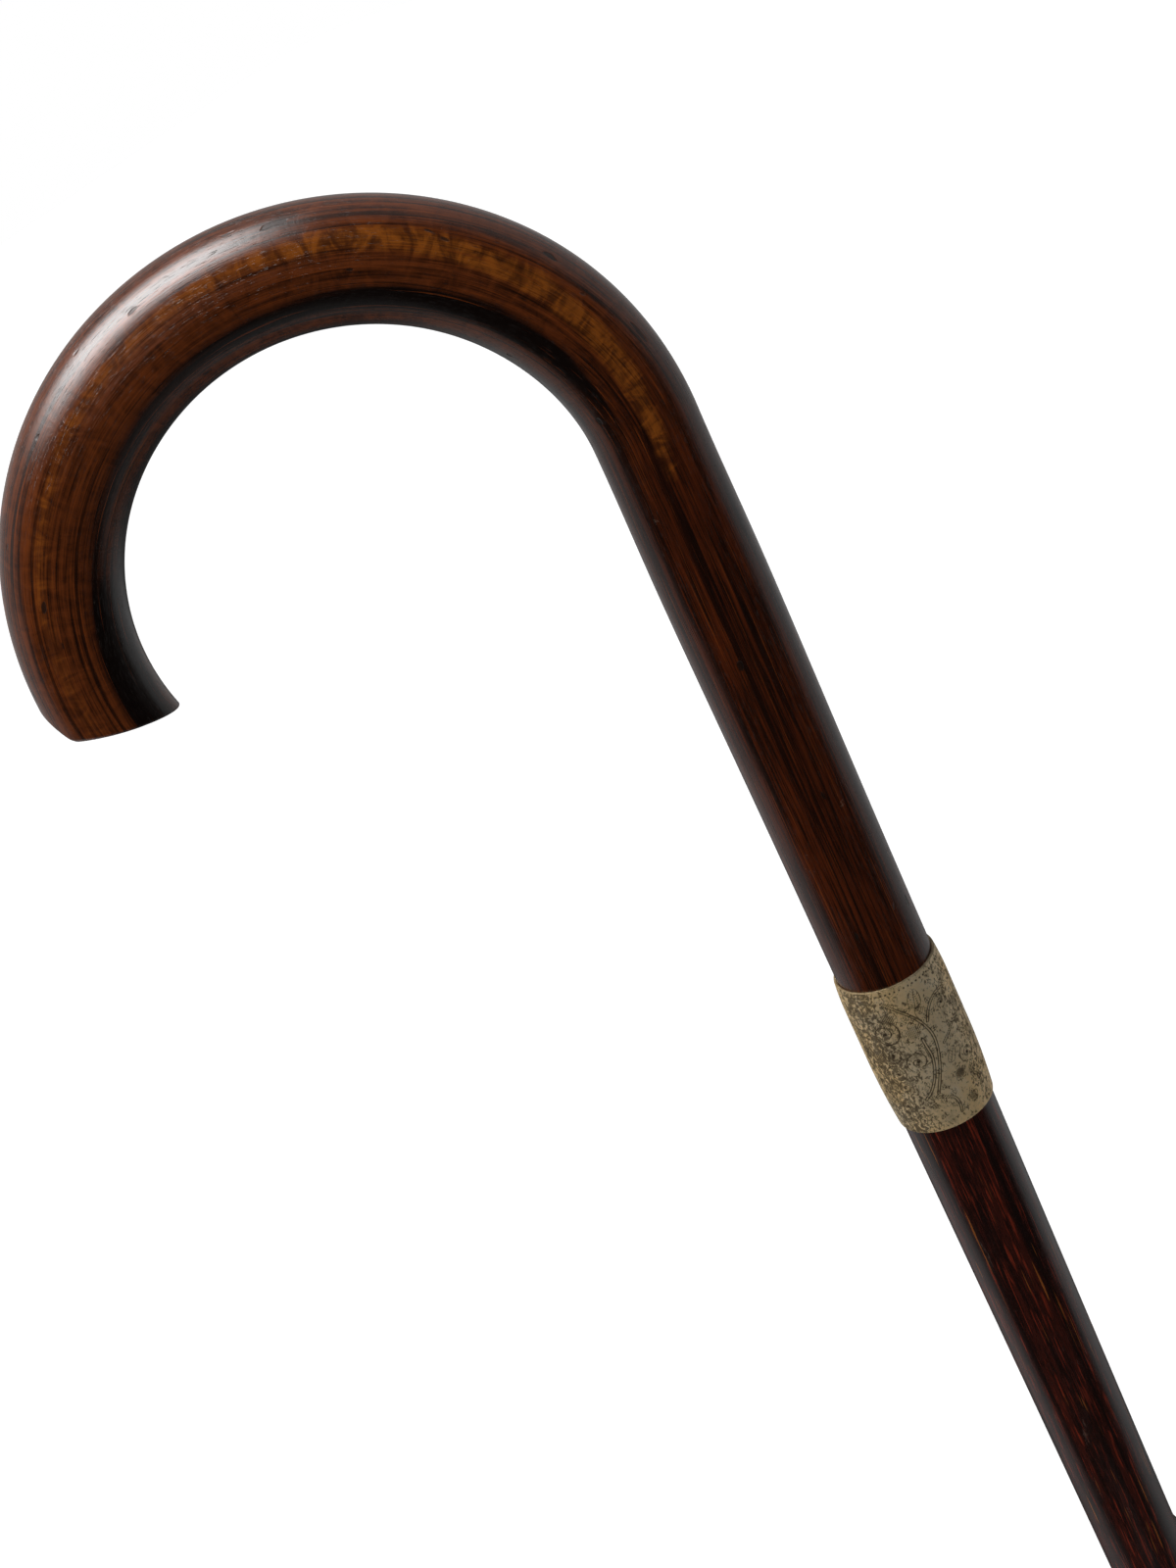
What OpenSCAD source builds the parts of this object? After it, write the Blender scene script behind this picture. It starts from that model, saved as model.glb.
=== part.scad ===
// Crook-handled walking cane, standing upright on its foot.
// Millimetres. The origin is the centre of the foot, +Z runs up the shaft,
// and the crook bends over towards -X in the XZ plane.
//
// The cane is two sticks butted end to end on a hidden dowel. A barrelled
// metal collar covers the joint. A brass ferrule with an iron tip shoes the foot.

/* [Handle stick] */
// Height above the foot of the point where the stick starts to bend
bend_height = 832; // [780:1:880]
// Straight stick between the bend and the top edge of the collar
neck_length = 123; // [90:1:160]
// Thickness of the handle stick where it enters the collar
neck_d = 20.3; // [18.5:0.1:21.5]
// How far the wood is drawn in where the bend starts, on the radius
waist_depth = 0.65; // [0:0.05:1.2]
// Length of stick in which the drawn-in waist fades away on either side
waist_length = 24; // [12:1:32]

/* [Crook] */
// Bend radius of the crook, to the middle of the wood
crook_r = 56; // [50:0.5:66]
// Angle that the crook turns through, to the middle of its cut end
crook_turn = 189.5; // [170:0.5:195]
// Thickness of the wood over the top of the crook
crook_d = 23.1; // [21:0.1:25]
// Thickness of the wood at the nose
nose_d = 22; // [20:0.1:24]
// Slant of the cut end that leaves its inner side long, in degrees
nose_slant_in = 18; // [0:1:22]
// Slant of the cut end that leaves its back long, in degrees
nose_slant_back = 17; // [0:1:20]
// Radius rubbed onto the edge of the cut end
nose_edge_r = 0.7; // [0.4:0.1:2.5]
// Length along the outer side that the knife facet takes off the nose
facet_length = 6.2; // [2:0.1:7]
// Angle of the knife facet to a square cut, in degrees
facet_angle = 55; // [35:1:60]

/* [Shaft] */
// Thickness of the shaft where it leaves the collar
shaft_top_d = 19.5; // [17:0.1:19.8]
// Thickness of the shaft just above the ferrule
shaft_foot_d = 13.8; // [13.4:0.1:16]
// How strongly the taper is gathered at the top of the shaft
taper_power = 2.15; // [1:0.05:3]
// Height above the foot of the trimmed knot
knot_height = 543; // [300:1:640]
// How far the knot stands out of the shaft
knot_rise = 1.6; // [0.6:0.1:2.4]
// Length of the knot along the shaft
knot_length = 14; // [9:0.5:22]
// Width of the knot across the shaft
knot_width = 11.4; // [8:0.2:13]

/* [Splice] */
// Thickness of the dowel that joins the two sticks
dowel_d = 9; // [6:0.5:11]
// Whole length of the dowel
dowel_length = 60; // [40:1:90]
// Glue gap round the dowel
dowel_gap = 0.1; // [0.05:0.01:0.25]
// Glue space past each end of the dowel
dowel_end_gap = 0.8; // [0.3:0.1:2]
// Chamfer on the ends of the dowel
dowel_chamfer = 0.8; // [0.3:0.1:1.5]

/* [Collar] */
// Length of the collar along the shaft
collar_length = 36; // [26:1:48]
// Thickness of the collar's sheet metal
collar_wall = 0.5; // [0.3:0.05:0.8]
// Fit between the collar's lips and the wood
collar_gap = 0.05; // [0.02:0.01:0.15]
// How far the belly of the collar stands out past its top lip, on the radius
collar_belly = 0.4; // [0.1:0.05:1]
// Share of the length, from the bottom, in which the collar draws in
collar_draw = 0.45; // [0.25:0.05:0.6]
// Share of the length, from the top, in which the top lip closes in
collar_lip = 0.2; // [0.1:0.05:0.35]

/* [Ferrule] */
// Bore of the ferrule sleeve
sleeve_bore_d = 13.2; // [12:0.1:13.3]
// Wall of the ferrule sleeve
sleeve_wall = 0.7; // [0.5:0.05:1.2]
// Length of the ferrule sleeve
sleeve_length = 31; // [22:1:45]
// Height of the stiffening band round the top of the sleeve
band_height = 9; // [6:0.5:14]
// How far the band stands out of the sleeve
band_rise = 0.3; // [0.3:0.05:0.6]
// Radius of the band's softened edges
band_edge_r = 0.25; // [0.1:0.05:0.3]
// Fit between the sleeve and what is inside it
sleeve_gap = 0.05; // [0.02:0.01:0.1]
// Height of the iron tip below the sleeve
tip_height = 4.5; // [3:0.1:8]
// Radius worn round the tip's bottom edge
tip_edge_r = 1.2; // [0.5:0.1:2.5]
// How far the tip's spigot reaches up inside the sleeve
spigot_height = 5; // [3:0.1:9]
// Thickness of the ferrule nails
nail_d = 1.2; // [0.9:0.05:1.8]
// Length of the ferrule nails under their heads
nail_length = 5; // [3:0.1:5.8]
// Thickness of the nail heads across
nail_head_d = 2.4; // [2:0.05:3.2]
// Height of the domed nail heads
nail_head_h = 0.5; // [0.3:0.05:0.9]
// Fit between the nails and their holes
nail_gap = 0.03; // [0.01:0.01:0.08]

/* [Hidden] */
$fn = 96;

// Faces round the bent stick, degrees of bend from ring to ring, and
// straight stick from ring to ring
STICK_SIDES = 36;
BEND_STEP = 4;
STRAIGHT_STEP = 14;
// Steps in the rubbed edge of the nose, and in the metal's profiles
EDGE_STEPS = 3;
PROFILE_STEPS = 18;
// Length of stick before the nose in which the rings lean over to the slanted cut
LEAN_LENGTH = 45;
// Share of the crook's turn at which the wood is fullest, and where it starts to thin
FULL_AT = 0.455;
THIN_FROM = 0.6;
// A cutter reaches this far past what it cuts
PAST = 1;
CUTTER = 60;

// Heights of the joints, worked out from the bend downwards
collar_top_z = bend_height - neck_length;
collar_bottom_z = collar_top_z - collar_length;
splice_z = collar_top_z - collar_length / 2;
sleeve_top_z = tip_height + sleeve_length;
wood_foot_z = tip_height + spigot_height;
band_bottom_z = sleeve_top_z - band_height;
nail_z = sleeve_top_z - band_height / 2;
dowel_hole_d = dowel_d + 2 * dowel_gap;
dowel_hole_depth = dowel_length / 2 + dowel_end_gap;
nail_hole_d = nail_d + 2 * nail_gap;
sleeve_r = sleeve_bore_d / 2 + sleeve_wall;
band_r = sleeve_r + band_rise;
fill_r = sleeve_bore_d / 2 - sleeve_gap;
collar_top_r = neck_d / 2 + collar_gap + collar_wall;
collar_bottom_r = shaft_top_d / 2 + collar_gap + collar_wall;
belly_r = collar_top_r + collar_belly;

// Length of stick along its middle: 0 at the start of the bend, negative below it
splice_s = splice_z - bend_height;
nose_s = crook_r * crook_turn * PI / 180;
full_s = nose_s * FULL_AT;
thin_s = nose_s * THIN_FROM;

// A step from 0 to 1 that starts and ends level
function smooth(t) = let (u = max(0, min(1, t))) u * u * (3 - 2 * u);

// Bend angle reached at length s of stick
function bend(s) = max(s, 0) / crook_r * 180 / PI;

// Radius of the handle stick at length s
function stick_r(s) =
    neck_d / 2
    + (crook_d - neck_d) / 2 * smooth((s + neck_length) / (neck_length + full_s))
    - (crook_d - nose_d) / 2 * smooth((s - thin_s) / (nose_s - thin_s))
    - waist_depth * exp(-pow(s / waist_length, 2));

// A point at length s, radius r and angle a round the stick: 0 is the outer
// side of the bend, 90 the back, 180 the inner side
function stick_point(s, r, a) = let (b = bend(s)) [
    -crook_r + (crook_r + r * cos(a)) * cos(b),
    r * sin(a),
    bend_height + min(s, 0) + (crook_r + r * cos(a)) * sin(b)
];

// One ring of the stick. Near the nose the rings lean over to the slanted cut.
function stick_ring(s, r) =
    let (lean = smooth((s - nose_s + LEAN_LENGTH) / (LEAN_LENGTH - nose_edge_r)))
    [for (i = [0:STICK_SIDES - 1])
        let (a = i * 360 / STICK_SIDES)
        let (lag = sin(a) * tan(nose_slant_back) - cos(a) * tan(nose_slant_in))
        stick_point(s + lean * r * lag, r, a)];

// Lengths at which the rings lie: the straight, the bend, then the rubbed edge
straight_rings = ceil(-splice_s / STRAIGHT_STEP);
bend_end_s = nose_s - nose_edge_r;
bend_rings = ceil(bend(bend_end_s) / BEND_STEP);
stick_rings = concat(
    [for (i = [0:straight_rings - 1])
        let (s = splice_s * (1 - i / straight_rings)) stick_ring(s, stick_r(s))],
    [for (i = [0:bend_rings])
        let (s = bend_end_s * i / bend_rings) stick_ring(s, stick_r(s))],
    [for (i = [1:EDGE_STEPS])
        let (t = i * 90 / EDGE_STEPS)
        stick_ring(bend_end_s + nose_edge_r * sin(t), stick_r(nose_s) - nose_edge_r * (1 - cos(t)))]
);

// Skin over rings of equal size, closed at both ends by a fan
module skin(rings, first_middle, last_middle) {
    n = len(rings[0]);
    rows = len(rings);
    points = concat([for (ring = rings) each ring], [first_middle, last_middle]);
    sides = [
        for (j = [0:rows - 2], i = [0:n - 1])
            let (k = (i + 1) % n, low = j * n, high = low + n)
            each [[low + i, high + i, high + k], [low + i, high + k, low + k]]
    ];
    ends = [
        for (i = [0:n - 1])
            let (k = (i + 1) % n, top = (rows - 1) * n)
            each [[rows * n, i, k], [rows * n + 1, top + k, top + i]]
    ];
    polyhedron(points = points, faces = concat(sides, ends), convexity = 6);
}

// A revolved solid from a profile of [radius, height] points
module turned(profile) rotate_extrude() polygon(profile);

// Bent handle: straight neck, waist, crook and hand-cut nose, bored for the dowel
module crook_handle() color("saddlebrown") difference() {
    skin(stick_rings, stick_point(splice_s, 0, 0), stick_point(nose_s, 0, 0));
    translate([0, 0, splice_z - PAST])
        cylinder(d = dowel_hole_d, h = dowel_hole_depth + PAST);
    nose_facet();
}

// Block that takes the knife facet off the outer side of the nose
module nose_facet() {
    nose_r = stick_r(nose_s);
    facet_s = nose_s - nose_r * tan(nose_slant_in) - facet_length;
    translate([-crook_r, 0, bend_height])
        rotate([0, -bend(facet_s), 0])
            translate([crook_r + nose_r, 0, 0])
                rotate([0, facet_angle, 0])
                    translate([-CUTTER / 2, -CUTTER / 2, 0])
                        cube([CUTTER, CUTTER, CUTTER / 2]);
}

// Radius of the shaft at a height: most of the taper lies near the collar
function shaft_r(z) =
    let (h = (z - sleeve_top_z) / (collar_bottom_z - sleeve_top_z))
    shaft_foot_d / 2 + (shaft_top_d - shaft_foot_d) / 2 * pow(max(h, 0), taper_power);

// Tapered shaft with its trimmed knot, turned down at the foot for the ferrule
module shaft() color("#3a1a12") difference() {
    union() {
        turned(concat(
            [[0, wood_foot_z], [fill_r, wood_foot_z], [fill_r, sleeve_top_z]],
            [for (i = [0:PROFILE_STEPS])
                let (z = sleeve_top_z + (collar_bottom_z - sleeve_top_z) * i / PROFILE_STEPS)
                [shaft_r(z), z]],
            [[shaft_top_d / 2, splice_z], [0, splice_z]]
        ));
        knot();
    }
    translate([0, 0, splice_z - dowel_hole_depth])
        cylinder(d = dowel_hole_d, h = dowel_hole_depth + PAST);
    nail_places() cylinder(d = nail_hole_d, h = 2 * (nail_length + PAST), center = true);
}

// Spindle, half sunk in the shaft's +X side, that stands out as a trimmed knot.
// Its arc meets the shaft's side at the ends of the knot.
module knot() {
    side_r = shaft_r(knot_height);
    belly = knot_width / 2;
    arc_r = (pow(knot_length / 2, 2) + pow(knot_rise, 2)) / (2 * knot_rise);
    translate([side_r + knot_rise - belly, 0, knot_height])
        rotate_extrude() intersection() {
            translate([belly - arc_r, 0]) circle(r = arc_r);
            translate([0, -arc_r]) square([belly, 2 * arc_r]);
        }
}

// Hardwood dowel, glued half its length into each stick
module joining_dowel() color("burlywood") turned([
    [0, splice_z - dowel_length / 2],
    [dowel_d / 2 - dowel_chamfer, splice_z - dowel_length / 2],
    [dowel_d / 2, splice_z - dowel_length / 2 + dowel_chamfer],
    [dowel_d / 2, splice_z + dowel_length / 2 - dowel_chamfer],
    [dowel_d / 2 - dowel_chamfer, splice_z + dowel_length / 2],
    [0, splice_z + dowel_length / 2]
]);

// Outer radius of the collar at a share t of its length from the bottom
function collar_r(t) =
    belly_r
    - (belly_r - collar_bottom_r) * pow(max(0, 1 - t / collar_draw), 2)
    - collar_belly * pow(max(0, (t - 1 + collar_lip) / collar_lip), 2);

// Barrelled sheet collar that grips both sticks at its lips
module collar() color("#a89268") turned(concat(
    [for (i = [0:PROFILE_STEPS]) let (t = i / PROFILE_STEPS)
        [collar_r(t), collar_bottom_z + t * collar_length]],
    [for (i = [PROFILE_STEPS:-1:0]) let (t = i / PROFILE_STEPS)
        [collar_r(t) - collar_wall, collar_bottom_z + t * collar_length]]
));

// Brass sleeve of the ferrule: a straight tube that a push-on tip fits, and a
// stiffening band round its top that the nails go through
module ferrule_sleeve() color("goldenrod") difference() {
    turned(concat(
        [[sleeve_bore_d / 2, tip_height], [sleeve_r, tip_height], [sleeve_r, band_bottom_z]],
        [for (i = [0:EDGE_STEPS]) let (t = i * 90 / EDGE_STEPS)
            [band_r - band_edge_r * (1 - sin(t)), band_bottom_z + band_edge_r * (1 - cos(t))]],
        [for (i = [0:EDGE_STEPS]) let (t = i * 90 / EDGE_STEPS)
            [band_r - band_edge_r * (1 - cos(t)), sleeve_top_z - band_edge_r * (1 - sin(t))]],
        [[sleeve_bore_d / 2, sleeve_top_z]]
    ));
    nail_places() cylinder(d = nail_hole_d, h = 2 * (nail_length + PAST), center = true);
}

// Iron tip: a worn disc under the sleeve, with a spigot brazed inside it
module ferrule_tip() color("dimgray") turned(concat(
    [[0, 0]],
    [for (i = [0:EDGE_STEPS]) let (t = i * 90 / EDGE_STEPS)
        [sleeve_r - tip_edge_r * (1 - sin(t)), tip_edge_r * (1 - cos(t))]],
    [[sleeve_r, tip_height], [fill_r, tip_height], [fill_r, wood_foot_z], [0, wood_foot_z]]
));

// Nail axes at the front and the back, each with its +Z pointing outwards
module nail_places()
    for (side = [-90, 90])
        rotate([0, 0, side]) translate([band_r, 0, nail_z]) rotate([0, 90, 0]) children();

// Two domed brass nails through the sleeve into the wood
module ferrule_nails() color("gold") nail_places() {
    dome_r = (pow(nail_head_d / 2, 2) + pow(nail_head_h, 2)) / (2 * nail_head_h);
    translate([0, 0, -nail_length]) cylinder(d = nail_d, h = nail_length);
    intersection() {
        cylinder(d = nail_head_d, h = nail_head_h + PAST);
        translate([0, 0, nail_head_h - dome_r]) sphere(r = dome_r);
    }
}

crook_handle();
shaft();
joining_dowel();
collar();
ferrule_sleeve();
ferrule_tip();
ferrule_nails();
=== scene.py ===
"""Looks of an old crook-handled walking cane: varnished wood, an engraved collar and a shod foot.

Metres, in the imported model's frame. The origin is the centre of the foot, +Z runs up the shaft
and the crook bends over towards -X. The photograph is taken from the -Y side.
"""

import math

import bpy
import numpy as np
from mathutils import Matrix, Vector


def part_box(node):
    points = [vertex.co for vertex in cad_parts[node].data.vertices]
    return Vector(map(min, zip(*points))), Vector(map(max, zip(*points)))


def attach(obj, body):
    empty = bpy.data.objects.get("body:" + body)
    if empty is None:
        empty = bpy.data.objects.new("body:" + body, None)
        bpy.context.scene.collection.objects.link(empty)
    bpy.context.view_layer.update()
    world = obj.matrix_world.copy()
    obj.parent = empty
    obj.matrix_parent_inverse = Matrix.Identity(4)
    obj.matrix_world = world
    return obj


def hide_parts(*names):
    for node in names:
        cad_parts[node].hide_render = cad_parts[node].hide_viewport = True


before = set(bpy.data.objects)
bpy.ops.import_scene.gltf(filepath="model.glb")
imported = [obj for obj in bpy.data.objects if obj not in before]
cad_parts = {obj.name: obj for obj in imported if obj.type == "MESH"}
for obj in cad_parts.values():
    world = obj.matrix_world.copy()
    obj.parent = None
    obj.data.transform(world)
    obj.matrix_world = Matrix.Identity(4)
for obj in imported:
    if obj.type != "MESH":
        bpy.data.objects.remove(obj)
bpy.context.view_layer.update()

# The crook handle is one steam-bent wooden stick: a straight neck, a waist where the bend starts,
# the crook, and a nose cut by hand. Its lower end is bored for the dowel and sits in the collar.
MM = 0.001
splice_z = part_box("crook_handle")[0].z
collar_top_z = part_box("collar")[1].z
NECK_LENGTH = 123 * MM
NECK_R = 10.15 * MM
CROOK_R = 11.55 * MM
NOSE_R = 11 * MM
WAIST_DEPTH = 0.65 * MM
WAIST_LENGTH = 24 * MM
BEND_R = 56 * MM
CROOK_TURN = math.radians(189.5)
FULL_AT = 0.455
THIN_FROM = 0.6
SLANT_IN = math.radians(18)
SLANT_BACK = math.radians(17)
LEAN_LENGTH = 45 * MM
NOSE_EDGE_R = 0.7 * MM
FACET_LENGTH = 6.2 * MM
FACET_ANGLE = math.radians(55)
RIDGE_WEAR = 0.5 * MM
SAWN_END_R = NECK_R * 0.99
DOWEL_HOLE_R = 4.6 * MM
DOWEL_HOLE_DEPTH = 30.8 * MM
STICK_SIDES = 144
RING_STEP = 0.55 * MM
EDGE_RINGS = 6
FACE_RINGS = 40
CREASE = math.radians(40)

bend_z = collar_top_z + NECK_LENGTH
nose_s = BEND_R * CROOK_TURN
splice_s = splice_z - bend_z


def smooth(t):
    """A step from 0 to 1 that starts and ends level: three times the square less twice the cube."""
    u = np.clip(t, 0, 1)
    return u * u * (3 - 2 * u)


def stick_r(s):
    """Radius at length s of stick.

    The neck's swells to the crook's by FULL_AT of the bend, thins to the nose's after THIN_FROM of it,
    and is less by a bell round s = 0, the waist.
    """
    swell = smooth((s + NECK_LENGTH) / (NECK_LENGTH + FULL_AT * nose_s))
    thin = smooth((s / nose_s - THIN_FROM) / (1 - THIN_FROM))
    waist = WAIST_DEPTH * np.exp(-((s / WAIST_LENGTH) ** 2))
    return NECK_R + (CROOK_R - NECK_R) * swell - (CROOK_R - NOSE_R) * thin - waist


def stick_points(s, r, a):
    """Points at length s, radius r and angle a, where 0 is the outer side and -90 degrees the front.

    Up to s = 0 the stick is straight. From there its middle follows a circle of BEND_R in the XZ plane.
    """
    turn = np.maximum(s, 0) / BEND_R
    arm = BEND_R + r * np.cos(a)
    height = bend_z + np.minimum(s, 0) + arm * np.sin(turn)
    return np.stack([arm * np.cos(turn) - BEND_R, r * np.sin(a) + 0 * s, height], -1)


def nose_cut(r, a):
    """Length at which the nose is cut, at radius r and angle a.

    The slanted saw cut and the knife facet are planes, and their lesser is taken with a worn ridge.
    """
    saw = nose_s + r * (np.sin(a) * math.tan(SLANT_BACK) - np.cos(a) * math.tan(SLANT_IN))
    facet_start = nose_s - NOSE_R * math.tan(SLANT_IN) - FACET_LENGTH
    facet = facet_start + (NOSE_R - r * np.cos(a)) * math.tan(FACET_ANGLE)
    return (saw + facet - np.sqrt((saw - facet) ** 2 + RIDGE_WEAR**2)) / 2


def round_points(r, a, z):
    """Points of an upright round form: radius times the cosine, radius times the sine, and the height."""
    return np.stack([r * np.cos(a), r * np.sin(a), z], -1)


def make_skin(name, rings, poles=None, straight=None):
    """A mesh over a grid of points, rows by points round, closed round each row.

    Poles are the points that close its first and last row. Without them the last row joins the first.
    Straight gives each grid point, and then each pole, its place in the unbent stick, in millimetres.
    """
    rows, around = rings.shape[:2]
    ids = np.arange(rows * around).reshape(rows, around)
    low, high = (ids[:-1], ids[1:]) if poles is not None else (ids, np.roll(ids, -1, 0))
    quads = np.stack([low, np.roll(low, -1, 1), np.roll(high, -1, 1), high], -1).reshape(-1, 4)
    points = rings.reshape(-1, 3)
    faces = quads.tolist()
    if poles is not None:
        first, last = len(points), len(points) + 1
        points = np.concatenate([points, poles])
        faces += np.stack([0 * ids[0] + first, np.roll(ids[0], -1), ids[0]], -1).tolist()
        faces += np.stack([0 * ids[-1] + last, ids[-1], np.roll(ids[-1], -1)], -1).tolist()
    mesh = bpy.data.meshes.new(name)
    mesh.from_pydata(points.tolist(), [], faces)
    mesh.shade_smooth()
    mesh.set_sharp_from_angle(angle=CREASE)
    if straight is not None:
        attribute = mesh.attributes.new("straight", "FLOAT_VECTOR", "POINT")
        attribute.data.foreach_set("vector", straight.astype(np.float32).ravel())
    piece = bpy.data.objects.new(name, mesh)
    bpy.context.scene.collection.objects.link(piece)
    return piece


# Rows of the handle: the dowel bore from its blind end, the sawn end, the skin, then the cut nose.
# The skin's last rows lean over until they lie along the slanted cut.
a = np.linspace(-np.pi, np.pi, STICK_SIDES, endpoint=False)[None, :]
bore_end_s = splice_s + DOWEL_HOLE_DEPTH
bore_s = np.array([bore_end_s, bore_end_s, splice_s, splice_s])[:, None] + 0 * a
bore_r = np.array([DOWEL_HOLE_R / 2, DOWEL_HOLE_R, DOWEL_HOLE_R, SAWN_END_R])[:, None] + 0 * a
skin_s = np.linspace(splice_s, nose_s - NOSE_EDGE_R, int((nose_s - splice_s) / RING_STEP))[:, None]
skin_r = stick_r(skin_s) + 0 * a
lean = smooth((skin_s - nose_s + LEAN_LENGTH) / (LEAN_LENGTH - NOSE_EDGE_R))
edge_t = np.radians(np.linspace(15, 90, EDGE_RINGS))[:, None]
edge_r = NOSE_R - NOSE_EDGE_R * (1 - np.cos(edge_t)) + 0 * a
face_r = (NOSE_R - NOSE_EDGE_R) * np.linspace(1, 0, FACE_RINGS, endpoint=False)[1:, None] + 0 * a
row_s = np.concatenate([
    bore_s,
    skin_s + lean * (nose_cut(skin_r, a) - nose_s),
    nose_cut(NOSE_R, a) - NOSE_EDGE_R * (1 - np.sin(edge_t)),
    nose_cut(face_r, a),
])
row_r = np.concatenate([bore_r, skin_r, edge_r, face_r])
pole_s = np.array([bore_end_s, float(nose_cut(0.0, 0.0))])
zero = np.zeros(2)
straight_rings = round_points(row_r, a, row_s)
straight_poles = round_points(zero, zero, pole_s)
handle = make_skin(
    "crook_handle_wood",
    stick_points(row_s, row_r, a),
    stick_points(pole_s, zero, zero),
    np.concatenate([straight_rings.reshape(-1, 3), straight_poles]) / MM,
)
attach(handle, "root")
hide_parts("crook_handle")


class Wire:
    """An outlet of the nodes of a material or the world. Arithmetic on it adds Math nodes."""

    def __init__(self, tree, socket=None):
        self.tree = tree
        self.socket = socket

    def add(self, kind, inlets=(), outlet=0, **settings):
        """A new node: its settings are set first, then its inlets, by name or number, are set or linked."""
        node = self.tree.nodes.new(kind)
        for name, value in settings.items():
            setattr(node, name, value)
        for name, value in dict(inlets).items():
            if isinstance(value, Wire):
                value.feed(node, name)
            else:
                node.inputs[name].default_value = value
        return Wire(self.tree, node.outputs[outlet])

    def math(self, operation, *values):
        """A Math node with that operation on this value and the given ones."""
        return self.add("ShaderNodeMath", dict(enumerate((self, *values))), operation=operation)

    def __add__(self, other):
        return self.math("ADD", other)

    def __sub__(self, other):
        return self.math("SUBTRACT", other)

    def __rsub__(self, other):
        return self.math("MULTIPLY", -1.0).math("ADD", other)

    def __mul__(self, other):
        return self.math("MULTIPLY", other)

    __radd__ = __add__
    __rmul__ = __mul__

    def rise(self, low, high):
        """A smooth step from 0 to 1 as the value goes from low to high."""
        inlets = {"Value": self, "From Min": low, "From Max": high}
        return self.add("ShaderNodeMapRange", inlets, interpolation_type="SMOOTHSTEP")

    def noise(self, stretch, detail=3.0, roughness=0.5, distortion=0.0):
        """Noise over this place, which is first multiplied by the stretch along each axis."""
        place = self.add("ShaderNodeVectorMath", {0: self, 1: stretch}, operation="MULTIPLY")
        inlets = {"Vector": place, "Scale": 1.0, "Detail": detail}
        inlets |= {"Roughness": roughness, "Distortion": distortion}
        return self.add("ShaderNodeTexNoise", inlets)

    def blend(self, low, high):
        """A colour that goes from low to high as this value goes from 0 to 1."""
        low = low if isinstance(low, Wire) else (*low, 1.0)
        high = high if isinstance(high, Wire) else (*high, 1.0)
        return self.add("ShaderNodeMix", {0: self, 6: low, 7: high}, outlet=2, data_type="RGBA")

    def painted(self, name):
        """The number that is kept for each point of the piece under that name."""
        return self.add("ShaderNodeAttribute", outlet="Fac", attribute_name=name)

    def feed(self, node, inlet):
        """Link this outlet to an inlet of a node."""
        self.tree.links.new(self.socket, node.inputs[inlet])

    def bump(self, shader, depth):
        """Let this height, from 0 to 1 for a depth in metres, tilt the shader's surface."""
        tilt = self.add("ShaderNodeBump", {"Height": self, "Distance": depth, "Strength": 1.0})
        tilt.feed(shader, "Normal")


def make_material(name, **constants):
    """A material with those constants on its shader. Returns it, the shader and a Wire to add nodes from."""
    material = bpy.data.materials.new(name)
    material.use_nodes = True
    shader = material.node_tree.nodes["Principled BSDF"]
    for inlet, value in constants.items():
        shader.inputs[inlet].default_value = value
    return material, shader, Wire(material.node_tree)


def paint(piece, name, values):
    """Keep a number for every grid point of a skin. Its poles, if it has any, take their end row's mean."""
    numbers = values.ravel()
    if len(piece.data.vertices) > numbers.size:
        numbers = np.concatenate([numbers, [values[0].mean(), values[-1].mean()]])
    attribute = piece.data.attributes.new(name, "FLOAT", "POINT")
    attribute.data.foreach_set("value", numbers.astype(np.float32))


def band(angle, centre, width):
    """A bell over the angle round the stick, in degrees, that is 1 on the centre line."""
    gap = (angle - centre + 180) % 360 - 180
    return np.exp(-((gap / width) ** 2))


# Amber bands wander along the crook's front and back. Near-black bands lie on both sides of the front one
# and along the inside of the bend, and darken the nose. The one below the front amber and the one along the
# inside of the bend are painted shade, on sides turned from the window. Lengths are millimetres from the
# bend.
length_mm = row_s / MM
angle = np.degrees(a) + 0 * row_s
amber_line = np.interp(length_mm, [-5, 5, 28, 62, 120, 185], [-87, -84, -70, -58, -64, -78])
amber_lengths = [-60, -12, 0, 15, 60, 85, 130, 185]
amber = band(angle, amber_line, 13) * np.interp(length_mm, amber_lengths, [0, 0.1, 0.7, 1, 1, 0.6, 0.5, 0.4])
amber = amber + band(angle, 75, 30) * np.interp(length_mm, [-20, 10, 90, 150, 185], [0, 0.6, 0.8, 0.5, 0.5])
# Painted shade: a near-black band below the front amber, on the crook's lower front, turned from the window
shade_line = np.interp(length_mm, [0, 40, 110, 185], [-122, -111, -116, -128])
shade_lengths = [-25, 10, 25, 60, 100, 185]
shade_and_dark_bands = band(angle, shade_line, 15) * np.interp(length_mm, shade_lengths, [0, 0.6, 1, 1, 0.75, 0.5])
front_lengths = [-130, -20, 20, 90, 185]
shade_and_dark_bands = shade_and_dark_bands + band(angle, -30, 14) * np.interp(length_mm, front_lengths, [0.5, 0.7, 0.35, 0.3, 0.3])
# Painted shade: near-black along the inside of the bend
shade_and_dark_bands = shade_and_dark_bands + 0.8 * band(angle, -163, 26) * np.interp(length_mm, [-40, 25, 160, 185], [0, 1, 1, 0.5])
shade_and_dark_bands = shade_and_dark_bands + band(angle, -132, 20) * np.interp(length_mm, [150, 172], [0, 1])
# Painted shade: the upright neck, out of the window's light, takes darker colours, which give way to the
# crook's along the start of the bend
lit_bend_share = np.interp(length_mm, [-30, 0, 40, 185], [0, 0.35, 0.75, 1]) * np.ones_like(angle)
paint(handle, "amber", amber)
paint(handle, "shade_and_dark_bands", shade_and_dark_bands)
paint(handle, "lit_bend_share", lit_bend_share)
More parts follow.
